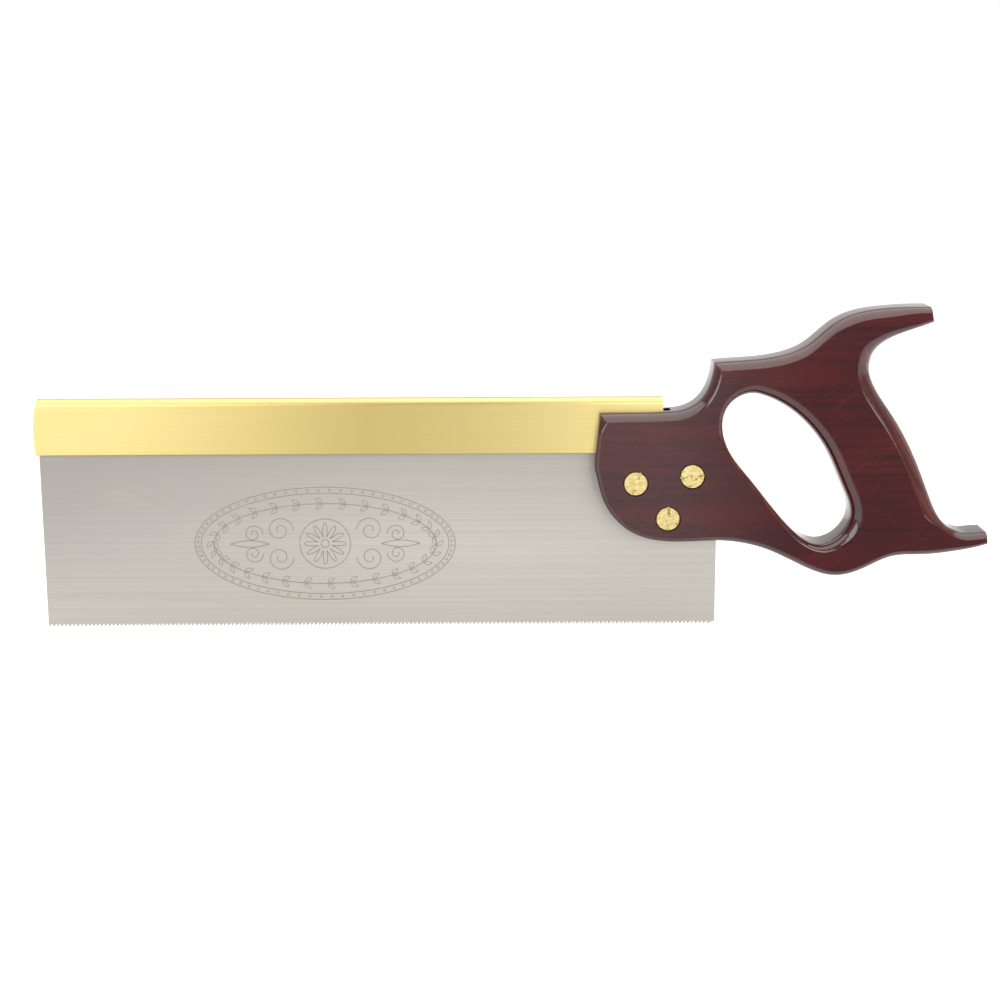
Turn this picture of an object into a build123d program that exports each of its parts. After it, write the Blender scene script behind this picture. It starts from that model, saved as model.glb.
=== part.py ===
from build123d import *

import math
import os

# A 12 inch back saw: a thin toothed blade, stiffened by a folded brass back, in a closed
# hardwood handle that three brass saw screws and split nuts hold on.
#
# Frame, in millimetres: the origin is the middle of the hand grip, on the blade's mid-plane.
# +X runs from the toe to the hand, +Z up, and the teeth point down. -Y is the left side,
# where the split nuts show; the screws' heads are on the right side, +Y.

# ---- blade ----
INCH = 25.4
BLADE_LENGTH = 12 * INCH
BLADE_GAUGE = 0.8
BLADE_DROP = 80.2  # from the back's lower edge to the tips of the teeth
BLADE_IN_BACK = 11.0  # how far the blade goes up between the legs of the back
HEEL_X = -67.0
TOE_X = HEEL_X - BLADE_LENGTH
TIP_Z = -BLADE_DROP

# ---- teeth ----
TEETH_PER_INCH = 14
TOOTH_PITCH = INCH / TEETH_PER_INCH
TOOTH_RAKE = 12.0  # degrees that the steep face leans back from square
FILE_ANGLE = 60.0  # degrees between the two faces of a tooth
TOOTH_SET = 0.16  # how far each tip is bent out, to alternate sides
TOOTH_DEPTH = TOOTH_PITCH / (
    math.tan(math.radians(TOOTH_RAKE)) + math.tan(math.radians(FILE_ANGLE - TOOTH_RAKE))
)

# ---- brass back ----
BACK_HEIGHT = 25.2
BACK_THICK = 7.2
BACK_TOP_ROUND = 3.2
BACK_EDGE_ROUND = 0.5
BACK_END_X = -92.2  # the end that lies in the handle
BACK_TOE_BULGE = 1.4  # the rounded toe end stands this far past the blade

# ---- handle ----
HANDLE_THICK = 22.0
EDGE_ROUND = 2.6  # along the long edges; the flat ends of the horns stay sharp
HAND_HOLE_ROUND = 3.6
MORTISE_GAP = 3.4  # the slot for the back is this much longer than the back
HEEL_GAP = 0.4

# ---- saw screws and split nuts ----
FASTENER_PLACES = [(-104.6, -12.6), (-79.4, -9.4), (-90.0, -28.7)]
THREAD_RADIUS = 3 / 16 * INCH / 2
SPLIT_ANGLES = [22.0, 84.0, 2.0]  # each nut's slot, in degrees clockwise from upright
RUNNING_GAP = 0.05
SEAT_GAP = 0.05
NUT_HEAD_RADIUS = 5.4
NUT_HEAD_THICK = 2.4
NUT_BARREL_RADIUS = 3.9
NUT_LENGTH = 8.6
NUT_SLOT_WIDTH = 0.9
NUT_SLOT_DEPTH = 1.1
SCREW_HEAD_RADIUS = 6.2
SCREW_HEAD_THICK = 2.6
SCREW_NECK_WIDTH = 5.6
SCREW_NECK_LENGTH = 4.0
HEAD_GAP = 0.3  # round the heads in their counterbores
HOLE_GAP = 0.25  # round the shank and the barrel
SUNK = 0.05  # the dressed faces lie this far under the cheeks
FACE_BREAK = 0.35  # the small chamfer on the rim of each head

HALF = HANDLE_THICK / 2
NUT_FACE_Y = -HALF + SUNK
SCREW_FACE_Y = HALF - SUNK
NUT_END_Y = NUT_FACE_Y + NUT_LENGTH
SCREW_HEAD_Y = SCREW_FACE_Y - SCREW_HEAD_THICK
SCREW_NECK_Y = SCREW_HEAD_Y - SCREW_NECK_LENGTH


def xz(points):
    """Points of the side view, given as (x, z), on the blade's mid-plane."""
    return [(x, 0, z) for x, z in points]


def across(face, y_from, y_to):
    """A face that lies in the side view, made solid between two distances along Y."""
    return extrude(Pos(0, y_from, 0) * face, amount=y_to - y_from, dir=(0, 1, 0))


def disc(place, radius, y_from, y_to):
    """A round rod along Y at an (x, z) place of the side view."""
    x, z = place
    plane = Plane(origin=(x, y_from, z), x_dir=(1, 0, 0), z_dir=(0, 1, 0))
    return extrude(plane * Circle(radius), amount=y_to - y_from)


# ---------------------------------------------------------------- blade


def triangle(a, b, c):
    return Face(Wire.make_polygon([a, b, c]))


def toothed_sheet():
    """The blade as one closed shell. Every tooth is a wedge that leans to its side of the sheet."""
    half = BLADE_GAUGE / 2
    gullet_z = TIP_Z + TOOTH_DEPTH
    top_z = BLADE_IN_BACK
    clip_x = BACK_END_X + 4
    clip_z = -14.0
    count = int(BLADE_LENGTH / TOOTH_PITCH)
    lead = TOOTH_DEPTH * math.tan(math.radians(TOOTH_RAKE))

    gullets = [TOE_X + k * TOOTH_PITCH for k in range(count)] + [HEEL_X]
    outline = [(x, gullet_z) for x in gullets]
    outline += [(HEEL_X, clip_z), (clip_x, top_z), (TOE_X, top_z)]

    faces = []
    for side in (-half, half):
        faces.append(Face(Wire.make_polygon([(x, side, z) for x, z in outline])))
    rim = outline[count:] + [outline[0]]
    for (x0, z0), (x1, z1) in zip(rim[:-1], rim[1:]):
        corners = [(x0, -half, z0), (x1, -half, z1), (x1, half, z1), (x0, half, z0)]
        faces.append(Face(Wire.make_polygon(corners)))

    for k in range(count):
        lean = TOOTH_SET if k % 2 else -TOOTH_SET
        front = (gullets[k], gullet_z)
        back = (gullets[k + 1], gullet_z)
        tip = (gullets[k] + lead, TIP_Z)
        for side in (-half, half):
            faces.append(
                triangle(
                    (front[0], side, front[1]),
                    (tip[0], side + lean, tip[1]),
                    (back[0], side, back[1]),
                )
            )
        for x, z in (front, back):
            corners = [
                (x, -half, z),
                (x, half, z),
                (tip[0], half + lean, tip[1]),
                (tip[0], -half + lean, tip[1]),
            ]
            faces.append(Face(Wire.make_polygon(corners)))
    return Solid(Shell(faces))


def make_blade():
    blade = toothed_sheet()
    for place in FASTENER_PLACES:
        blade -= disc(place, THREAD_RADIUS + HOLE_GAP, -BLADE_GAUGE, BLADE_GAUGE)
    return blade


# ---------------------------------------------------------------- brass back


def make_back():
    """A strip of brass folded over the blade: a round top, two legs and a blunt bulging toe."""
    plane = Plane(origin=(TOE_X - 5, 0, 0), x_dir=(0, 1, 0), z_dir=(1, 0, 0))
    section = Pos(0, BACK_HEIGHT / 2) * Rectangle(BACK_THICK, BACK_HEIGHT)
    top = section.vertices().group_by(Axis.Y)[-1]
    section = fillet(top, BACK_TOP_ROUND)
    low = section.vertices().group_by(Axis.Y)[0]
    section = fillet(low, BACK_EDGE_ROUND)
    section -= Pos(0, BLADE_IN_BACK / 2) * Rectangle(BLADE_GAUGE, BLADE_IN_BACK)
    bar = extrude(plane * section, amount=BACK_END_X - TOE_X + 5)

    toe = [
        (TOE_X - BACK_TOE_BULGE + 0.7, 0),
        (TOE_X - BACK_TOE_BULGE, 0.42 * BACK_HEIGHT),
        (TOE_X + 0.6, BACK_HEIGHT),
    ]
    low, middle, high = xz(toe)
    end_low, end_high = xz([(BACK_END_X, 0), (BACK_END_X, BACK_HEIGHT)])
    side = ThreePointArc(low, middle, high) + Polyline([high, end_high, end_low, low])
    side = make_face(side)
    back = bar & across(side, -BACK_THICK, BACK_THICK)
    heel_corner = back.edges().filter_by(Axis.Y).sort_by(Axis.X)[-2:].sort_by(Axis.Z)[-1]
    return fillet(heel_corner, 1.2)


# ---------------------------------------------------------------- handle


def handle_outline():
    """The side view of the handle, clockwise from the top corner of its front edge."""
    front_top = (-120.8, 18.6)
    front_low = (-122.7, 0.0)
    shoulder = (-90.0, 19.3)
    nib = (-70.2, 41.2)
    horn_top = (24.2, 65.6)
    horn_tip = (25.4, 58.9)
    spur_top = (53.6, -36.0)
    spur_tip = (54.0, -41.4)

    # behind the brass back the top edge sweeps up to a sharp nib
    sweep = [shoulder, (-76.3, 24.4), nib]
    # over the hand the crest rises and ends in the upper horn
    crest = [nib, (-44.0, 43.5), (-29.0, 49.0), (-19.0, 57.4), (-5.0, 63.6), (10.0, 65.3), horn_top]
    # under the upper horn, down the back of the grip, and out along the lower horn
    grip = [
        horn_tip,
        (10.6, 53.3),
        (1.8, 47.3),
        (-1.1, 38.7),
        (2.3, 28.4),
        (9.9, 17.2),
        (21.6, -3.9),
        (30.5, -25.4),
        (35.2, -32.6),
        (43.0, -36.3),
        spur_top,
    ]
    # the belly under the hand hole, and the round front of the cheek
    belly = [
        spur_tip,
        (40.0, -44.8),
        (24.0, -46.4),
        (11.5, -47.2),
        (-1.5, -52.9),
        (-14.0, -55.9),
        (-27.5, -52.0),
        (-45.0, -43.7),
        (-66.0, -39.5),
        (-90.0, -39.4),
        (-106.3, -35.0),
        (-115.6, -26.5),
        (-120.8, -14.7),
        (-122.4, -8.0),
        front_low,
    ]
    return [
        Line(*xz([front_top, shoulder])),
        Spline(*xz(sweep), tangents=[(1, 0, 0.02), (0.1, 0, 1)]),
        Spline(*xz(crest), tangents=[(1, 0, 0.1), (1, 0, 0)]),
        Line(*xz([horn_top, horn_tip])),
        Spline(*xz(grip), tangents=[(-1, 0, -0.36), (1, 0, 0.05)]),
        Line(*xz([spur_top, spur_tip])),
        Spline(*xz(belly), tangents=[(-1, 0, -0.3), (0.05, 0, 1)]),
        Line(*xz([front_low, front_top])),
    ]


def hand_hole_outline():
    """The slanted egg that four fingers go through."""
    points = [
        (-50.0, 26.9),
        (-33.4, 18.3),
        (-19.0, 1.4),
        (-11.2, -15.5),
        (-7.7, -29.0),
        (-19.6, -41.2),
        (-36.3, -31.9),
        (-52.9, -11.7),
        (-65.0, 6.4),
        (-63.7, 21.9),
    ]
    return Spline(*xz(points), periodic=True)


def face_of(edges):
    return make_face(Curve() + edges)


def rims_of(board, wanted):
    """The edges of the two cheeks whose bounding boxes are centred where the test says."""
    rims = board.faces().filter_by(Axis.Y).edges()
    return rims.filter_by(lambda rim: wanted(rim.bounding_box().center()))


def away_from_horn_ends(point):
    return point.X < 30 and point.Z < 60


def in_hand_hole(point):
    return abs(point.X + 37) < 10 and abs(point.Z + 7) < 10


def handle_blank():
    """The shaped board: the outline less the hand hole, with its edges rounded over."""
    board = across(face_of(handle_outline()), -HALF, HALF)
    board = fillet(rims_of(board, away_from_horn_ends), EDGE_ROUND)
    board -= across(face_of([hand_hole_outline()]), -HALF, HALF)
    return fillet(rims_of(board, in_hand_hole), HAND_HOLE_ROUND)


def mortise():
    """The slot for the brass back, open at the top and the front."""
    length = BACK_END_X + MORTISE_GAP - (-130)
    middle = -130 + length / 2
    height = 60
    return Pos(middle, 0, height / 2) * Box(length, BACK_THICK, height)


def kerf():
    """The saw cut that the blade slides up into."""
    low = -70.0
    top = BLADE_IN_BACK
    heel = HEEL_X + HEEL_GAP
    points = [(-130, low), (heel, low), (heel, -14.0), (BACK_END_X + 4, top), (-130, top)]
    face = make_face(Polyline(xz(points + points[:1])))
    return across(face, -BLADE_GAUGE / 2, BLADE_GAUGE / 2)


def make_handle():
    handle = handle_blank() - mortise() - kerf()
    for place in FASTENER_PLACES:
        nut_floor = NUT_FACE_Y + NUT_HEAD_THICK + SEAT_GAP
        head_floor = SCREW_HEAD_Y - SEAT_GAP
        handle -= disc(place, NUT_HEAD_RADIUS + HEAD_GAP, -HALF - 1, nut_floor)
        handle -= disc(place, NUT_BARREL_RADIUS + HOLE_GAP, -HALF, NUT_END_Y + HOLE_GAP)
        handle -= disc(place, THREAD_RADIUS + HOLE_GAP, -HALF, HALF)
        handle -= neck(place, SCREW_NECK_WIDTH + 2 * RUNNING_GAP, SCREW_NECK_Y - HOLE_GAP, HALF)
        handle -= disc(place, SCREW_HEAD_RADIUS + HEAD_GAP, head_floor, HALF + 1)
    return handle


# ---------------------------------------------------------------- fasteners


def neck(place, width, y_from, y_to):
    """A square rod along Y."""
    x, z = place
    return Pos(x, (y_from + y_to) / 2, z) * Box(width, y_to - y_from, width)


def make_nut(place, angle):
    """A split nut: a thin round head on a threaded barrel, slotted on both sides of the bore."""
    barrel_y = NUT_FACE_Y + NUT_HEAD_THICK
    head = disc(place, NUT_HEAD_RADIUS, NUT_FACE_Y, barrel_y)
    rim = head.edges().sort_by(Axis.Y)[0]
    head = chamfer(rim, FACE_BREAK)
    nut = head + disc(place, NUT_BARREL_RADIUS, barrel_y, NUT_END_Y)
    nut -= disc(place, THREAD_RADIUS + RUNNING_GAP, NUT_FACE_Y - 1, NUT_END_Y + 1)
    x, z = place
    slot = Box(NUT_SLOT_WIDTH, 2 * NUT_SLOT_DEPTH, 3 * NUT_HEAD_RADIUS)
    return nut - Pos(x, NUT_FACE_Y, z) * Rot(0, angle, 0) * slot


def make_screw(place):
    """A saw screw: a round head, a square neck that keeps it from turning, and a shank."""
    head = disc(place, SCREW_HEAD_RADIUS, SCREW_HEAD_Y, SCREW_FACE_Y)
    rim = head.edges().sort_by(Axis.Y)[-1]
    head = chamfer(rim, FACE_BREAK)
    screw = head + neck(place, SCREW_NECK_WIDTH, SCREW_NECK_Y, SCREW_HEAD_Y)
    return screw + disc(place, THREAD_RADIUS, NUT_FACE_Y, SCREW_NECK_Y)


# ---------------------------------------------------------------- the saw


def write(name, shape):
    shape.label = name
    export_step(shape, f"parts/{name}.step")


def main():
    os.makedirs("parts", exist_ok=True)
    write("blade", make_blade())
    write("brass_back", make_back())
    write("handle", make_handle())
    for name, place, angle in zip(("front", "rear", "lower"), FASTENER_PLACES, SPLIT_ANGLES):
        write(f"{name}_split_nut", make_nut(place, angle))
        write(f"{name}_saw_screw", make_screw(place))


main()
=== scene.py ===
import math

import bmesh
import bpy
import numpy as np
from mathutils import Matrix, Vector
from mathutils.geometry import delaunay_2d_cdt
from mathutils.kdtree import KDTree


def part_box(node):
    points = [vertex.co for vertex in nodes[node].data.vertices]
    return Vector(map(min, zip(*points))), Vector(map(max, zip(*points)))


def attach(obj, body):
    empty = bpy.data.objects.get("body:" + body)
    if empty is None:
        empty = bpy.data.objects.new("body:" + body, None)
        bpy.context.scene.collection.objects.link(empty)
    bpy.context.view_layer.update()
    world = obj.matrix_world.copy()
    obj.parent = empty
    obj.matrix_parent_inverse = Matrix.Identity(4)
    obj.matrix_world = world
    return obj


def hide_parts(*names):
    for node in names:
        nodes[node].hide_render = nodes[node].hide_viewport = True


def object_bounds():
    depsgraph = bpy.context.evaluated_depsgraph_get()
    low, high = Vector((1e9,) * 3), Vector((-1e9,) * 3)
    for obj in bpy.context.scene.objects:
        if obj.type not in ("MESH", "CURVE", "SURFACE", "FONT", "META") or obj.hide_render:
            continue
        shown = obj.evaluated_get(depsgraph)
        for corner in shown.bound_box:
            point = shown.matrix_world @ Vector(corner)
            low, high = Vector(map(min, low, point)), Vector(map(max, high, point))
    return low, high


# ---- the frame: everything below is placed from it ----
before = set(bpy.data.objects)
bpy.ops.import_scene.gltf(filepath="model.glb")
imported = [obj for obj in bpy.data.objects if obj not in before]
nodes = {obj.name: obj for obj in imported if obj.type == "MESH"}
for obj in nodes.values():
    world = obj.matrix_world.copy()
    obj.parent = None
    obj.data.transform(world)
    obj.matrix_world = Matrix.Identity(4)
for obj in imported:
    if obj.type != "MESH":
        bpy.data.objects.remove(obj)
cad_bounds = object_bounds()
LOW, HIGH = (Vector(corner) for corner in cad_bounds)
CENTRE = (LOW + HIGH) / 2
BLADE_LOW, BLADE_HIGH = (Vector(corner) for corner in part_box("blade"))
TOE_X = BLADE_LOW.x
MM = 0.001
FASTENERS = ("front", "rear", "lower")

# ---- the studio: a camera as in the photograph, and a white tent round the object ----
LENS_MM = 66.6
CAMERA_DISTANCE = 0.8364
CAMERA_ELEVATION = math.radians(12.16)
CAMERA_TURN = math.radians(-0.39)
CAMERA_ROLL = math.radians(-0.19)
AIM_LEFT = 5.5 * MM
AIM_DOWN = 14.6 * MM
WORLD_FRONT = 0.3
WORLD_BACK = 1.0
FLOOR_GAP = 0.5 * MM


# ---------------------------------------------------------------- node helpers


class Nodes:
    """A material being built: add() makes a node, link() joins two of them."""

    def __init__(self, name):
        self.material = bpy.data.materials.new(name)
        self.material.use_nodes = True
        self.tree = self.material.node_tree
        self.shader = self.tree.nodes["Principled BSDF"]
        self.where = self.add("ShaderNodeTexCoord").outputs["Object"]

    def add(self, kind, **settings):
        node = self.tree.nodes.new(kind)
        for key, value in settings.items():
            setattr(node, key, value)
        return node

    def link(self, source, target):
        self.tree.links.new(source, target)

    def shade(self, **values):
        """Constant values on the shader's own sockets."""
        for name, value in values.items():
            self.shader.inputs[name.replace("_", " ")].default_value = value

    def mapped(self, where, scale=(1, 1, 1), shift=(0, 0, 0), turn=0.0):
        """Coordinates scaled along each axis, shifted, and turned about Y by degrees."""
        mapping = self.add("ShaderNodeMapping")
        mapping.inputs["Scale"].default_value = scale
        mapping.inputs["Location"].default_value = shift
        mapping.inputs["Rotation"].default_value = (0, math.radians(turn), 0)
        self.link(where, mapping.inputs["Vector"])
        return mapping.outputs["Vector"]

    def noise(self, scale, detail=4.0, roughness=0.5, shift=(0, 0, 0), where=None):
        """Noise from 0 to 1 whose cells are 1 / scale metres long on each axis."""
        noise = self.add("ShaderNodeTexNoise")
        noise.inputs["Scale"].default_value = 1.0
        noise.inputs["Detail"].default_value = detail
        noise.inputs["Roughness"].default_value = roughness
        self.link(self.mapped(where or self.where, scale, shift), noise.inputs["Vector"])
        return noise.outputs["Fac"]

    def wandering(self, scale, reach):
        """Object coordinates pushed about by a slow noise."""
        drift = self.add("ShaderNodeTexNoise")
        drift.inputs["Scale"].default_value = 1.0
        self.link(self.mapped(self.where, scale), drift.inputs["Vector"])
        push = self.add("ShaderNodeVectorMath", operation="MULTIPLY_ADD")
        push.inputs[1].default_value = reach
        self.link(drift.outputs["Color"], push.inputs[0])
        self.link(self.where, push.inputs[2])
        return push.outputs[0]

    def fade(self, name, start, end):
        """0 where an axis reads start metres, 1 where it reads end, straight between."""
        split = self.add("ShaderNodeSeparateXYZ")
        self.link(self.where, split.inputs[0])
        fade = self.add("ShaderNodeMapRange")
        fade.inputs["From Min"].default_value = start
        fade.inputs["From Max"].default_value = end
        self.link(split.outputs[name], fade.inputs["Value"])
        return fade.outputs["Result"]

    def ramp(self, value, stops):
        """Colours (or greys) that follow a value. stops is [(position, colour or grey), ...]."""
        ramp = self.add("ShaderNodeValToRGB")
        elements = ramp.color_ramp.elements
        while len(elements) < len(stops):
            elements.new(0.5)
        for element, (position, colour) in zip(elements, stops):
            element.position = position
            grey = not isinstance(colour, tuple)
            element.color = (colour, colour, colour, 1) if grey else (*colour, 1)
        self.link(value, ramp.inputs["Fac"])
        return ramp.outputs["Color"]

    def mix(self, fac, a, b):
        """Blends two colours. Each argument is a socket or a constant."""
        mix = self.add("ShaderNodeMix", data_type="RGBA")
        for socket, value in (("Factor", fac), ("A", a), ("B", b)):
            target = [s for s in mix.inputs if s.name == socket and s.enabled][0]
            if isinstance(value, bpy.types.NodeSocket):
                self.link(value, target)
            elif isinstance(value, tuple):
                target.default_value = (*value, 1)
            else:
                target.default_value = value
        return [s for s in mix.outputs if s.enabled][0]

    def math(self, operation, a, b=0.0):
        node = self.add("ShaderNodeMath", operation=operation)
        for target, value in zip(node.inputs, (a, b)):
            if isinstance(value, bpy.types.NodeSocket):
                self.link(value, target)
            else:
                target.default_value = value
        return node.outputs[0]

    def bump(self, height, distance, strength):
        bump = self.add("ShaderNodeBump")
        bump.inputs["Distance"].default_value = distance
        bump.inputs["Strength"].default_value = strength
        self.link(height, bump.inputs["Height"])
        self.link(bump.outputs["Normal"], self.shader.inputs["Normal"])


def linear(red, green, blue):
    """An sRGB colour from 0 to 255 as the shader wants it."""
    return tuple(
        c / 12.92 if c <= 0.04045 else ((c + 0.055) / 1.055) ** 2.4
        for c in (red / 255, green / 255, blue / 255)
    )


# ---------------------------------------------------------------- materials


def brushed_metal(name, light, dark, roughness, line_scale, anisotropy):
    """Metal brushed along X: long fine lines in its colour, gloss and surface."""
    m = Nodes(name)
    fine = m.noise((5, line_scale, line_scale), detail=5, roughness=0.6)
    short = m.noise((45, line_scale, line_scale), detail=3, roughness=0.6, shift=(3, 5, 7))
    broad = m.noise((7, 40, 26), detail=3)
    colour = m.mix(m.ramp(fine, [(0.3, 0.0), (0.7, 1.0)]), dark, light)
    colour = m.mix(m.ramp(short, [(0.55, 0.0), (0.8, 0.5)]), colour, light)
    colour = m.mix(m.ramp(broad, [(0.35, 0.0), (0.75, 0.5)]), colour, dark)
    rough = m.ramp(fine, [(0.3, roughness + 0.05), (0.7, roughness - 0.04)])
    m.link(rough, m.shader.inputs["Roughness"])
    m.shade(Metallic=1.0, Anisotropic=anisotropy)
    across = m.add("ShaderNodeCombineXYZ")
    across.inputs["Z"].default_value = 1
    m.link(across.outputs[0], m.shader.inputs["Tangent"])
    m.bump(fine, 0.01 * MM, 0.25)
    return m, colour


def steel():
    """The blade: brushed, with painted shade toward the toe and under the back, faintly stained at
    the toe.
    """
    m, colour = brushed_metal(
        "blade_steel", linear(166, 163, 156), linear(158, 154, 147), 0.5, 1400, 0.2
    )
    toe = m.fade("X", TOE_X + 160 * MM, TOE_X + 7 * MM)
    # painted shade: the steel darkens toward the toe, more so higher up the blade
    dull = m.math("MULTIPLY", toe, m.fade("Z", -75 * MM, 0))
    colour = m.mix(dull, colour, linear(134, 130, 127))
    # painted shade: the steel darkens upward toward the brass back
    painted_shade_under_back = m.math("MULTIPLY", m.fade("Z", -42 * MM, 0), 0.8)
    colour = m.mix(painted_shade_under_back, colour, linear(140, 136, 130))
    stain = m.ramp(m.noise((40, 90, 70), detail=3), [(0.55, 0.0), (0.75, 0.5)])
    colour = m.mix(m.math("MULTIPLY", stain, toe), colour, linear(160, 158, 138))
    m.link(colour, m.shader.inputs["Base Color"])
    return m.material


def brass(name):
    """The back: brushed, with a painted dimmer reflection half way along its sides."""
    m, colour = brushed_metal(name, linear(196, 180, 124), linear(188, 171, 113), 0.32, 1100, 0.75)
    along = m.fade("X", TOE_X + 32 * MM, TOE_X + 260 * MM)
    # painted reflection: the sides darken half way along the back, less on the top
    middle = m.ramp(along, [(0.0, 0.0), (0.23, 0.5), (0.5, 1.0), (0.75, 0.5), (1.0, 0.0)])
    facing = m.add("ShaderNodeSeparateXYZ")
    m.link(m.add("ShaderNodeTexCoord").outputs["Normal"], facing.inputs[0])
    side = m.ramp(facing.outputs["Z"], [(0.1, 1.0), (0.5, 0.2)])
    colour = m.mix(m.math("MULTIPLY", middle, side), colour, linear(172, 155, 98))
    m.link(colour, m.shader.inputs["Base Color"])
    return m.material


def dressed_brass(name):
    """Brass filed flush with the cheek: crossing scratches and small dents."""
    m = Nodes(name)
    one = m.noise((260, 900, 2600), detail=4, roughness=0.7)
    two = m.noise((2600, 900, 320), detail=4, roughness=0.7, shift=(9, 2, 4))
    dents = m.noise((620, 620, 620), detail=2, shift=(1, 8, 3))
    low, high = linear(156, 136, 78), linear(210, 196, 144)
    colour = m.mix(m.ramp(one, [(0.35, 0.0), (0.65, 1.0)]), low, high)
    colour = m.mix(m.ramp(two, [(0.55, 0.0), (0.75, 0.7)]), colour, linear(146, 120, 58))
    colour = m.mix(m.ramp(dents, [(0.58, 0.0), (0.7, 0.7)]), colour, linear(104, 84, 38))
    m.link(colour, m.shader.inputs["Base Color"])
    m.link(m.ramp(one, [(0.3, 0.42), (0.7, 0.24)]), m.shader.inputs["Roughness"])
    m.shade(Metallic=1.0)
    marks = m.math("ADD", m.math("ADD", one, two), m.math("MULTIPLY", dents, 2.5))
    m.bump(marks, 0.12 * MM, 0.7)
    return m.material


def wood_grain(m):
    """Dark red-brown with long fine lines, open pores, and paler flecks across them."""
    grain = m.wandering((14, 14, 20), (0.003, 0.003, 0.006))
    lines = m.noise((14, 260, 620), detail=4, roughness=0.6, where=grain)
    streaks = m.noise((8, 90, 210), detail=2, where=grain)
    pores = m.noise((120, 1400, 2000), detail=3, roughness=0.6, shift=(2, 6, 1), where=grain)
    tilted = m.mapped(m.where, turn=38)
    flecks = m.noise((130, 700, 900), detail=2, roughness=0.6, shift=(5, 1, 9), where=tilted)
    cloud = m.noise((26, 26, 38), detail=3)
    colour = m.ramp(
        cloud, [(0.3, linear(44, 8, 11)), (0.5, linear(55, 10, 12)), (0.72, linear(62, 15, 14))]
    )
    colour = m.mix(m.ramp(streaks, [(0.48, 0.0), (0.62, 0.4)]), colour, linear(32, 8, 10))
    colour = m.mix(m.ramp(lines, [(0.5, 0.0), (0.62, 0.55)]), colour, linear(26, 7, 9))
    colour = m.mix(m.ramp(pores, [(0.58, 0.0), (0.7, 0.35)]), colour, linear(22, 7, 8))
    colour = m.mix(m.ramp(flecks, [(0.56, 0.0), (0.74, 0.22)]), colour, linear(92, 34, 28))
    return colour, lines, pores


def lacquered_wood():
    """Stained hardwood under lacquer, glossier on the rounded edges than on the flat cheeks."""
    m = Nodes("handle_wood")
    colour, lines, pores = wood_grain(m)
    facing = m.add("ShaderNodeSeparateXYZ")
    m.link(m.add("ShaderNodeTexCoord").outputs["Normal"], facing.inputs[0])

    # paler streaks run down the surfaces that face +X, such as the back of the grip: grain streaks,
    # with a painted highlight on that side
    streaks = m.noise((600, 600, 8), detail=2, roughness=0.6, where=m.mapped(m.where, turn=28))
    back = m.ramp(facing.outputs["X"], [(0.2, 0.0), (0.62, 1.0)])
    paler = m.math("MULTIPLY", back, m.ramp(streaks, [(0.42, 0.05), (0.62, 0.75)]))
    m.link(m.mix(paler, colour, linear(104, 48, 26)), m.shader.inputs["Base Color"])
    m.link(m.ramp(lines, [(0.4, 0.1), (0.7, 0.17)]), m.shader.inputs["Roughness"])

    # the flat cheeks shine less than the rounded edges, and least near the grip
    flat = m.ramp(m.math("ABSOLUTE", facing.outputs["Y"]), [(0.93, 0.0), (0.98, 1.0)])
    cheek = m.ramp(m.fade("X", -30 * MM, -90 * MM), [(0.0, 0.14), (1.0, 0.4)])
    m.link(m.mix(flat, (0.66, 0.66, 0.66), cheek), m.shader.inputs["Specular IOR Level"])
    m.bump(m.math("ADD", lines, m.math("MULTIPLY", pores, 0.6)), 0.02 * MM, 0.3)
    return m.material


def dress(node_name, material):
    mesh = nodes[node_name].data
    mesh.materials.clear()
    mesh.materials.append(material)


def dress_all():
    dress("blade", steel())
    dress("brass_back", brass("back_brass"))
    wood = lacquered_wood()
    dress("handle", wood)
    build_handle(wood)
    nut = dressed_brass("nut_brass")
    screw = dressed_brass("screw_brass")
    for name in FASTENERS:
        dress(f"{name}_split_nut", nut)
        dress(f"{name}_saw_screw", screw)


# ---------------------------------------------------------------- handle mesh
#
# The CAD handle gives the outline and the hand hole. The visible handle is built again from
# them, with roundovers that change in width round the outline, as on a shaped handle.

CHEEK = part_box("handle")[1][1]
ROUND_STEPS = 9
SAMPLE_SPACING = 0.8 * MM
SAME_POINT = 0.02 * MM
CORNER_DEGREES = 24
CREASE_DEGREES = 14
MITRE_POINTS = 13
MITRE_SPACING = 0.4 * MM


def cad_loops(node_name, y):
    """The closed outlines where a plane across Y cuts a CAD node, widest first, as (x, z)."""
    bm = bmesh.new()
    bm.from_mesh(nodes[node_name].data)
    bmesh.ops.remove_doubles(bm, verts=bm.verts[:], dist=1e-6)
    everything = bm.verts[:] + bm.edges[:] + bm.faces[:]
    cut = bmesh.ops.bisect_plane(bm, geom=everything, plane_co=(0, y, 0), plane_no=(0, 1, 0))
    around = {}
    for edge in cut["geom_cut"]:
        if isinstance(edge, bmesh.types.BMEdge):
            a, b = edge.verts
            around.setdefault(a, []).append(b)
            around.setdefault(b, []).append(a)
    loops = []
    while around:
        vert = next(iter(around))
        loop = []
        while vert is not None:
            loop.append((vert.co.x, vert.co.z))
            vert = next((v for v in around.pop(vert) if v in around), None)
        loop = np.array(loop)
        steps = np.linalg.norm(loop - np.roll(loop, 1, axis=0), axis=1)
        loops.append(loop[steps > SAME_POINT])
    bm.free()
    return sorted(loops, key=lambda loop: -np.ptp(loop[:, 0]))


def signed_area(loop):
    ahead = np.roll(loop, -1, axis=0)
    return np.sum(loop[:, 0] * ahead[:, 1] - ahead[:, 0] * loop[:, 1]) / 2


def turns(loop):
    """How sharply a closed loop turns at each of its points, in degrees."""
    before = loop - np.roll(loop, 1, axis=0)
    after = np.roll(loop, -1, axis=0) - loop
    angles = np.arctan2(after[:, 1], after[:, 0]) - np.arctan2(before[:, 1], before[:, 0])
    return np.abs(np.degrees((angles + np.pi) % (2 * np.pi) - np.pi))


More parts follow.
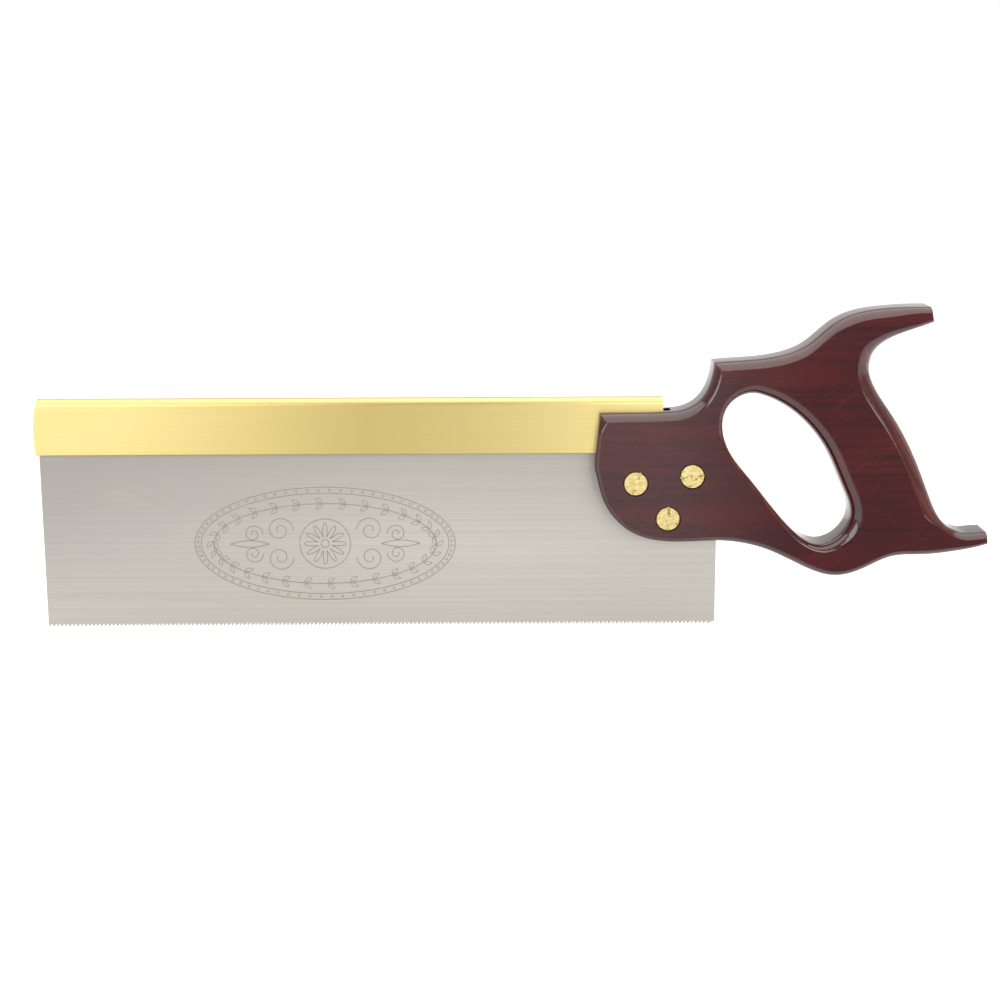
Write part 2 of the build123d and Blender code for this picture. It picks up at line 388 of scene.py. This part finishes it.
def smooth_curve(points, spacing):
    """Evenly spaced samples of a smooth curve through the points, with their left normals."""
    steps = np.linalg.norm(np.diff(points, axis=0), axis=1)
    along = np.concatenate([[0], np.cumsum(steps)])
    slopes = np.gradient(points, along, axis=0)
    count = max(24, int(along[-1] / spacing))
    at = np.linspace(0, along[-1], count + 1)
    k = np.clip(np.searchsorted(along, at, side="right") - 1, 0, len(steps) - 1)
    width = steps[k][:, None]
    t = ((at - along[k]) / steps[k])[:, None]
    samples = (
        (2 * t**3 - 3 * t**2 + 1) * points[k]
        + (t**3 - 2 * t**2 + t) * width * slopes[k]
        + (3 * t**2 - 2 * t**3) * points[k + 1]
        + (t**3 - t**2) * width * slopes[k + 1]
    )
    headings = np.gradient(samples, axis=0)
    headings /= np.linalg.norm(headings, axis=1)[:, None]
    normals = np.stack([-headings[:, 1], headings[:, 0]], axis=1)
    return samples, normals


def stretches_of(loop):
    """A loop cut at its sharp corners into smooth stretches of (samples, normals)."""
    corners = np.flatnonzero(turns(loop) > CORNER_DEGREES)
    if len(corners) == 0:
        wrapped = np.concatenate([loop[-6:], loop, loop[:7]])
        samples, normals = smooth_curve(wrapped, SAMPLE_SPACING / 2)
        start = np.argmin(np.linalg.norm(samples[: len(samples) // 2] - loop[0], axis=1))
        half = len(samples) // 2
        end = half + np.argmin(np.linalg.norm(samples[half:] - loop[0], axis=1))
        return [(samples[start : end + 1], normals[start : end + 1])]
    loop = np.roll(loop, -corners[0], axis=0)
    corners = np.append(corners - corners[0], len(loop))
    loop = np.concatenate([loop, loop[:1]])
    return [smooth_curve(loop[a : b + 1], SAMPLE_SPACING) for a, b in zip(corners, corners[1:])]


class Stretch:
    """One smooth run of the handle's rim, and how wide and deep its roundover is along it."""

    def __init__(self, samples, normals, size):
        self.samples = samples
        self.normals = normals
        self.width, self.depth = np.array([size(*place) for place in samples]).T
        self.tree = KDTree(len(samples))
        for i, (x, z) in enumerate(samples):
            self.tree.insert((x, z, 0), i)
        self.tree.balance()

    def height(self, x, z):
        """The cheek's height at a place, as this stretch's roundover leaves it."""
        _, i, away = self.tree.find((x, z, 0))
        if away > self.width[i] + SAMPLE_SPACING / 2:
            return CHEEK
        offset = np.array((x, z)) - self.samples[i]
        distance = max(0.0, float(offset @ self.normals[i]))
        return round_height(distance, self.width[i], self.depth[i])


def round_height(distance, width, depth):
    """The cheek's height at a distance in from the rim: an arc that meets the cheek in an arris."""
    if distance >= width:
        return CHEEK
    radius = (width**2 + depth**2) / (2 * width)
    return CHEEK - depth + math.sqrt(max(0.0, radius**2 - (radius - distance) ** 2))


def blend(value, start, end):
    """0 at start, 1 at end, smooth between."""
    t = min(1.0, max(0.0, (value - start) / (end - start)))
    return t * t * (3 - 2 * t)


def mixed(a, b, t):
    return tuple(p + (q - p) * t for p, q in zip(a, b))


TOP_ROUND = (3.6 * MM, 5.6 * MM)
LOW_ROUND = (2.6 * MM, 4.2 * MM)
FRONT_ROUND = (1.8 * MM, 2.4 * MM)
GRIP_ROUND = (6.4 * MM, 8.2 * MM)
HORN_TOP_ROUND = (2.4 * MM, 4.0 * MM)
HORN_LOW_ROUND = (1.6 * MM, 2.6 * MM)
HORN_END_ROUND = (0.5 * MM, 0.6 * MM)
HOLE_GRIP_ROUND = (6.0 * MM, 6.2 * MM)
HOLE_FRONT_ROUND = (2.0 * MM, 3.0 * MM)


def outline_round(x, z):
    """How wide and deep the roundover is at a place measured from the middle of the grip.

    It is wide along the top and the back of the grip, narrow round the front of the cheek.
    """
    x, z = x / MM, z / MM
    front = blend(x, -100, -118) * blend(z, 16, 10)
    low = blend(z, -20, -34)
    top = mixed(TOP_ROUND, LOW_ROUND, low)
    size = mixed(top, FRONT_ROUND, max(front, low * blend(x, -60, -95)))
    grip = blend(x, -12, -4) * blend(z, 52, 44) * blend(z, -33, -24)
    size = mixed(size, GRIP_ROUND, grip)
    upper_horn = blend(z, 50, 52) * blend(x, 4, 22)
    lower_horn = blend(z, -30, -34) * blend(x, 36, 52)
    above = blend(z, 59, 62) if z > 0 else blend(z, -39, -38)
    horn = mixed(HORN_LOW_ROUND, HORN_TOP_ROUND, above)
    return mixed(size, horn, max(upper_horn, lower_horn))


def hand_hole_round(x, z):
    """Wide on the side of the grip, narrow on the side of the blade."""
    across = (x / MM + 37) * 0.84 + (z / MM + 8) * 0.54
    return mixed(HOLE_FRONT_ROUND, HOLE_GRIP_ROUND, blend(across, -12, 10))


def horn_end_round(x, z):
    return HORN_END_ROUND


def handle_stretches():
    """The rim of the outline, wood on its left, and the rim of the hand hole likewise."""
    mortise_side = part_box("brass_back")[1][1]
    outline, hole = cad_loops("handle", -mortise_side - 0.9 * MM)[:2]
    if signed_area(outline) < 0:
        outline = outline[::-1]
    if signed_area(hole) > 0:
        hole = hole[::-1]
    outer = []
    for samples, normals in stretches_of(outline):
        length = np.linalg.norm(samples[-1] - samples[0])
        is_end = length < 8 * MM and samples[:, 0].min() > 20 * MM
        outer.append(Stretch(samples, normals, horn_end_round if is_end else outline_round))
    inner = [Stretch(*stretch, hand_hole_round) for stretch in stretches_of(hole)]
    return outer, inner


def inside(places, loops):
    """Which places lie inside the first loop and outside the others."""
    result = np.zeros(len(places), dtype=bool)
    x, z = places.T
    for loop in loops:
        ahead = np.roll(loop, -1, axis=0)
        for (x0, z0), (x1, z1) in zip(loop, ahead):
            if z0 == z1:
                continue
            spans = (z0 > z) != (z1 > z)
            result ^= spans & (x < x0 + (z - z0) * (x1 - x0) / (z1 - z0))
    return result


def cheek_points(stretches):
    """Rows of points along each roundover, less those that lie nearer another stretch."""
    rows = []
    for stretch in stretches:
        radius = (stretch.width**2 + stretch.depth**2) / (2 * stretch.width)
        end_angle = 2 * np.arctan2(stretch.width, stretch.depth)
        for step in range(1, ROUND_STEPS + 1):
            distance = radius * (1 - np.cos(end_angle * step / ROUND_STEPS))
            row = stretch.samples + stretch.normals * distance[:, None]
            for place, far in zip(row, distance):
                nearest = min(other.tree.find((*place, 0))[2] for other in stretches)
                if nearest > 0.98 * far:
                    rows.append(place)
    return rows


def ridge_points(outer):
    """Points along the mitre that runs in from each sharp corner of the outline."""
    points = []
    for before, after in zip(outer, outer[1:] + outer[:1]):
        corner = after.samples[0]
        bisector = before.normals[-1] + after.normals[0]
        bisector /= np.linalg.norm(bisector)
        for step in range(1, MITRE_POINTS + 1):
            points.append(corner + bisector * MITRE_SPACING * step)
    return points


def blank_mesh():
    """The handle as a closed mesh: two cheeks with roundovers, joined by walls along the rims."""
    outer, inner = handle_stretches()
    everywhere = outer + inner
    loops = []
    for group in (outer, inner):
        loops.append(np.concatenate([stretch.samples[:-1] for stretch in group]))
    boundary = np.concatenate(loops)
    extra = np.array(cheek_points(everywhere) + ridge_points(outer))
    extra = extra[inside(extra, loops)]
    places = [Vector(place) for place in np.concatenate([boundary, extra])]
    edges = []
    start = 0
    for loop in loops:
        ids = list(range(start, start + len(loop)))
        edges += list(zip(ids, ids[1:] + ids[:1]))
        start += len(loop)
    within_outline = 1
    verts, _, faces, origins, _, _ = delaunay_2d_cdt(places, edges, [], within_outline, 1e-7)
    flat = np.array([tuple(v) for v in verts])
    centres = np.array([flat[list(face)].mean(axis=0) for face in faces])
    faces = [face for face, open_air in zip(faces, inside(centres, loops[1:])) if not open_air]
    heights = [min(stretch.height(x, z) for stretch in everywhere) for x, z in flat]

    bm = bmesh.new()
    left = [bm.verts.new((x, -y, z)) for (x, z), y in zip(flat, heights)]
    right = [bm.verts.new((x, y, z)) for (x, z), y in zip(flat, heights)]
    for a, b, c in faces:
        bm.faces.new((left[a], left[b], left[c]))
        bm.faces.new((right[c], right[b], right[a]))
    renamed = {old: new for new, olds in enumerate(origins) for old in olds}
    for a, b in edges:
        a, b = renamed[a], renamed[b]
        bm.faces.new((left[b], left[a], right[a], right[b]))
    bmesh.ops.recalc_face_normals(bm, faces=bm.faces[:])
    return bm


def new_object(name, bm, material=None):
    mesh = bpy.data.meshes.new(name)
    bm.to_mesh(mesh)
    bm.free()
    thing = bpy.data.objects.new(name, mesh)
    bpy.context.scene.collection.objects.link(thing)
    if material is not None:
        mesh.materials.append(material)
    return thing


def add_box(bm, low, high):
    """A box between two corners."""
    made = bmesh.ops.create_cube(bm, size=1)["verts"]
    for vert in made:
        vert.co = Vector((l + (c + 0.5) * (h - l) for l, h, c in zip(low, high, vert.co)))


def add_stepped_hole(bm, x, z, steps):
    """A closed plug along Y. steps is [(y, radius, is it square), ...] from left to right."""
    count = 96
    rings = []
    for y, radius, square in steps:
        ring = []
        for i in range(count):
            angle = 2 * math.pi * (i + 0.5) / count
            reach = radius
            if square:
                reach /= max(abs(math.cos(angle)), abs(math.sin(angle)))
            ring.append(
                bm.verts.new((x + reach * math.cos(angle), y, z + reach * math.sin(angle)))
            )
        rings.append(ring)
    for one, two in zip(rings, rings[1:]):
        for i in range(count):
            j = (i + 1) % count
            bm.faces.new((one[i], one[j], two[j], two[i]))
    bm.faces.new(rings[0])
    bm.faces.new(rings[-1][::-1])


def cut(thing, bm):
    """Takes a closed cutter away from an object."""
    bmesh.ops.recalc_face_normals(bm, faces=bm.faces[:])
    cutter = new_object("cutter", bm)
    modifier = thing.modifiers.new("cut", "BOOLEAN")
    modifier.object = cutter
    modifier.solver = "EXACT"
    depsgraph = bpy.context.evaluated_depsgraph_get()
    result = bpy.data.meshes.new_from_object(thing.evaluated_get(depsgraph))
    thing.modifiers.clear()
    thing.data = result
    bpy.data.objects.remove(cutter)


MORTISE_GAP = 3.4 * MM  # beyond the back's rear end
HALF_KERF = 0.4 * MM
HEEL_GAP = 0.4 * MM
HEAD_GAP = 0.3 * MM  # round the heads of the nuts and the screws
NUT_RECESS = 2.45 * MM
BARREL_GAP = 0.25 * MM
HEAD_RECESS = 2.65 * MM
NECK_LENGTH = 4.2 * MM
BARREL_HOLE = 4.15 * MM
SHANK_HOLE = 2.63 * MM
NECK_HOLE = 2.85 * MM


def cut_fittings(handle):
    """The mortise for the back, the kerf for the blade, and the holes for the screws."""
    back_low, back_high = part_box("brass_back")
    low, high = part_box("handle")
    bm = bmesh.new()
    end = back_high[0] + MORTISE_GAP
    add_box(bm, (low[0] - MM, back_low[1], back_low[2]), (end, back_high[1], high[2]))
    cut(handle, bm)
    bm = bmesh.new()
    kerf_top = back_low[2] + MM
    heel = BLADE_HIGH.x + HEEL_GAP
    add_box(bm, (low[0] - MM, -HALF_KERF, BLADE_LOW.z), (heel, HALF_KERF, kerf_top))
    cut(handle, bm)
    bm = bmesh.new()
    for name in FASTENERS:
        nut_low, nut_high = (Vector(corner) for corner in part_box(f"{name}_split_nut"))
        screw_low, screw_high = (Vector(corner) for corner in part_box(f"{name}_saw_screw"))
        x, _, z = (nut_low + nut_high) / 2
        nut_radius = (nut_high.x - nut_low.x) / 2 + HEAD_GAP
        head_radius = (screw_high.x - screw_low.x) / 2 + HEAD_GAP
        nut_floor = nut_low.y + NUT_RECESS
        barrel_end = nut_high.y + BARREL_GAP
        head_floor = screw_high.y - HEAD_RECESS
        neck_end = head_floor - NECK_LENGTH
        steps = [
            (low[1] - MM, nut_radius, False),
            (nut_floor, nut_radius, False),
            (nut_floor, BARREL_HOLE, False),
            (barrel_end, BARREL_HOLE, False),
            (barrel_end, SHANK_HOLE, False),
            (neck_end, SHANK_HOLE, False),
            (neck_end, NECK_HOLE, True),
            (head_floor, NECK_HOLE, True),
            (head_floor, head_radius, False),
            (high[1] + MM, head_radius, False),
        ]
        add_stepped_hole(bm, x, z, steps)
    cut(handle, bm)


def build_handle(material):
    handle = new_object("shaped_handle", blank_mesh(), material)
    cut_fittings(handle)
    mesh = handle.data
    mesh.name = "shaped_handle"
    mesh.shade_smooth()
    mesh.set_sharp_from_angle(angle=math.radians(CREASE_DEGREES))
    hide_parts("handle")
    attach(handle, "saw")


# ---------------------------------------------------------------- etched ornament
#
# A plain pattern of beads, leaves, scrolls and a rosette, thin on the left face of the blade.

ETCH_CENTRE = (TOE_X + 127.3 * MM, 0.52 * BLADE_LOW.z)
ETCH_HALF = (59 * MM, 26.2 * MM)
ETCH_Y = -0.43 * MM  # just proud of the blade's left face
ETCH_LINE = 0.4 * MM


def ribbon(bm, points, width=ETCH_LINE):
    """A flat line of a given width through points of (x, z), measured from the etch's centre."""
    points = np.array(points)
    headings = np.gradient(points, axis=0)
    headings /= np.linalg.norm(headings, axis=1)[:, None]
    normals = np.stack([-headings[:, 1], headings[:, 0]], axis=1) * width / 2
    rails = []
    for side in (1, -1):
        rail = points + side * normals + np.array(ETCH_CENTRE)
        rails.append([bm.verts.new((x, ETCH_Y, z)) for x, z in rail])
    for i in range(len(points) - 1):
        bm.faces.new((rails[0][i], rails[0][i + 1], rails[1][i + 1], rails[1][i]))


def ellipse(half_x, half_z, middle=(0, 0), count=120):
    angles = np.linspace(0, 2 * math.pi, count + 1)
    return np.stack(
        [middle[0] + half_x * np.cos(angles), middle[1] + half_z * np.sin(angles)], axis=1
    )


def rose(radius, petals):
    """A closed line of pointed petals round the centre."""
    angles = np.linspace(0, 2 * math.pi, 40 * petals + 1)
    reach = radius * (0.35 + 0.65 * np.abs(np.cos(petals * angles / 2)) ** 1.4)
    return np.stack([reach * np.cos(angles), reach * np.sin(angles)], axis=1)


def scroll(middle, radius, start, turn):
    """A spiral that winds in toward its middle. turn is 1 for anticlockwise, -1 for clockwise."""
    t = np.linspace(0, 1, 70)
    angles = start + turn * t * 2 * math.pi * 1.6
    reach = radius * (1 - 0.85 * t)
    return np.stack(
        [middle[0] + reach * np.cos(angles), middle[1] + reach * np.sin(angles)], axis=1
    )


def leaf(root, tip, bulge):
    """The outline of a leaf between two points."""
    root, tip = np.array(root), np.array(tip)
    along = tip - root
    across = np.array((-along[1], along[0])) * bulge
    t = np.linspace(0, 1, 24)[:, None]
    one = root + along * t + across * np.sin(math.pi * t)
    two = root + along * t - across * np.sin(math.pi * t)
    return np.concatenate([one, two[::-1]])


def add_wreath(bm, half_x, half_z):
    """Leaves in pairs along an oval stem, all pointing the same way round."""
    ribbon(bm, ellipse(half_x, half_z))
    pairs = 30
    for i in range(pairs):
        angle = 2 * math.pi * (i + 0.5) / pairs
        root = np.array((half_x * math.cos(angle), half_z * math.sin(angle)))
        heading = math.atan2(half_z * math.cos(angle), -half_x * math.sin(angle))
        for lean in (0.55, -0.55):
            step = np.array((math.cos(heading + lean), math.sin(heading + lean)))
            ribbon(bm, leaf(root + step * 0.9 * MM, root + step * 4.6 * MM, 0.22), 0.3 * MM)


def etched_steel():
    """The etched lines: a dull grey-olive with a fine grain."""
    m = Nodes("etched_steel")
    fine = m.noise((900, 900, 900), detail=3)
    m.link(
        m.ramp(fine, [(0.3, linear(104, 102, 88)), (0.7, linear(122, 119, 104))]),
        m.shader.inputs["Base Color"],
    )
    m.link(m.ramp(fine, [(0.3, 0.68), (0.7, 0.55)]), m.shader.inputs["Roughness"])
    m.shade(Specular_IOR_Level=0.4)
    m.bump(fine, 0.01 * MM, 0.3)
    return m.material


def add_etch():
    half_x, half_z = ETCH_HALF
    bm = bmesh.new()
    for inset in (0, 2.8 * MM):
        ribbon(bm, ellipse(half_x - inset, half_z - inset))
    beads = 72
    for i in range(beads):
        angle = 2 * math.pi * (i + 0.5) / beads
        middle = ((half_x - 1.4 * MM) * math.cos(angle), (half_z - 1.4 * MM) * math.sin(angle))
        ribbon(bm, ellipse(0.5 * MM, 0.5 * MM, middle, 10), 0.3 * MM)
    add_wreath(bm, 50.5 * MM, 18.6 * MM)
    ribbon(bm, rose(9.5 * MM, 12))
    ribbon(bm, ellipse(11.5 * MM, 11.5 * MM))
    ribbon(bm, ellipse(1.8 * MM, 1.8 * MM, count=30))
    for side in (1, -1):
        start = math.pi if side > 0 else 0
        for up in (1, -1):
            turn = -side * up
            ribbon(bm, scroll((side * 20.5 * MM, up * 6.4 * MM), 6.2 * MM, start, turn))
            ribbon(bm, scroll((side * 32.5 * MM, up * 4.6 * MM), 4.4 * MM, start, turn))
        ribbon(bm, leaf((side * 25.5 * MM, 0), (side * 43 * MM, 0), 0.09))
    bm.normal_update()
    bmesh.ops.solidify(bm, geom=bm.faces[:], thickness=0.02 * MM)
    etch = new_object("etched_ornament", bm, etched_steel())
    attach(etch, "saw")


# ---------------------------------------------------------------- studio


def pale_floor():
    m = Nodes("floor_white")
    speckle = m.noise((40, 40, 40), detail=2)
    m.link(m.ramp(speckle, [(0.0, 0.44), (1.0, 0.45)]), m.shader.inputs["Base Color"])
    m.shade(Roughness=0.9, Specular_IOR_Level=0.0, Emission_Strength=0.72)
    m.shader.inputs["Emission Color"].default_value = (1, 1, 1, 1)
    return m.material


def add_floor():
    """A plain pale floor under the teeth, wide enough to fill every view."""
    bpy.ops.mesh.primitive_plane_add(size=80, location=(CENTRE.x, 0, LOW.z - FLOOR_GAP))
    floor = bpy.context.object
    floor.name = "floor"
    floor.data.materials.append(pale_floor())


def soft_light(name, turn, height, distance, size, radiance):
    """A soft light seen from the object at an azimuth (0 is straight in front) and elevation."""
    data = bpy.data.lights.new(name, "AREA")
    data.shape = "RECTANGLE"
    data.size, data.size_y = size
    data.energy = math.pi * radiance * size[0] * size[1]
    light = bpy.data.objects.new(name, data)
    bpy.context.scene.collection.objects.link(light)
    turn, height = math.radians(turn), math.radians(height)
    level = math.cos(height) * distance
    away = Vector((math.sin(turn) * level, -math.cos(turn) * level, math.sin(height) * distance))
    light.location = CENTRE + away
    light.rotation_euler = (-away).to_track_quat("-Z", "Y").to_euler()


def add_world():
    """A white tent, brighter behind the object than in front. The camera sees it as plain white."""
    world = bpy.data.worlds.new("studio")
    world.use_nodes = True
    nodes_of = world.node_tree.nodes
    join = world.node_tree.links.new
    split = nodes_of.new("ShaderNodeSeparateXYZ")
    join(nodes_of.new("ShaderNodeTexCoord").outputs["Generated"], split.inputs[0])
    strength = nodes_of.new("ShaderNodeMapRange")
    strength.inputs["From Min"].default_value = -1
    strength.inputs["To Min"].default_value = WORLD_FRONT
    strength.inputs["To Max"].default_value = WORLD_BACK
    join(split.outputs["Y"], strength.inputs["Value"])
    seen = nodes_of.new("ShaderNodeMix")
    seen.inputs["B"].default_value = 1.0
    join(nodes_of.new("ShaderNodeLightPath").outputs["Is Camera Ray"], seen.inputs["Factor"])
    join(strength.outputs["Result"], seen.inputs["A"])
    background = nodes_of["Background"]
    background.inputs["Color"].default_value = (1, 1, 1, 1)
    join(seen.outputs["Result"], background.inputs["Strength"])
    bpy.context.scene.world = world


def add_lights():
    add_world()
    soft_light("top_softbox", 0, 86, 1.2, (2.6, 2.0), 2.15)
    soft_light("left_softbox", -31, 16, 1.9, (1.5, 0.9), 4.2)
    soft_light("right_softbox", 27, 16, 1.9, (1.5, 0.9), 5.0)


def add_camera():
    data = bpy.data.cameras.new("camera")
    data.lens = LENS_MM
    data.sensor_width = 36
    camera = bpy.data.objects.new("camera", data)
    bpy.context.scene.collection.objects.link(camera)
    aim = CENTRE - Vector((AIM_LEFT, 0, AIM_DOWN))
    level = math.cos(CAMERA_ELEVATION)
    back = Vector(
        (
            math.sin(CAMERA_TURN) * level,
            -math.cos(CAMERA_TURN) * level,
            math.sin(CAMERA_ELEVATION),
        )
    )
    camera.location = aim + back * CAMERA_DISTANCE
    camera.rotation_euler = (-back).to_track_quat("-Z", "Y").to_euler()
    camera.rotation_euler.rotate_axis("Z", CAMERA_ROLL)
    bpy.context.scene.camera = camera


# ---------------------------------------------------------------- the scene

dress_all()
add_etch()
add_floor()
add_lights()
add_camera()
bpy.context.scene.view_settings.view_transform = "Standard"
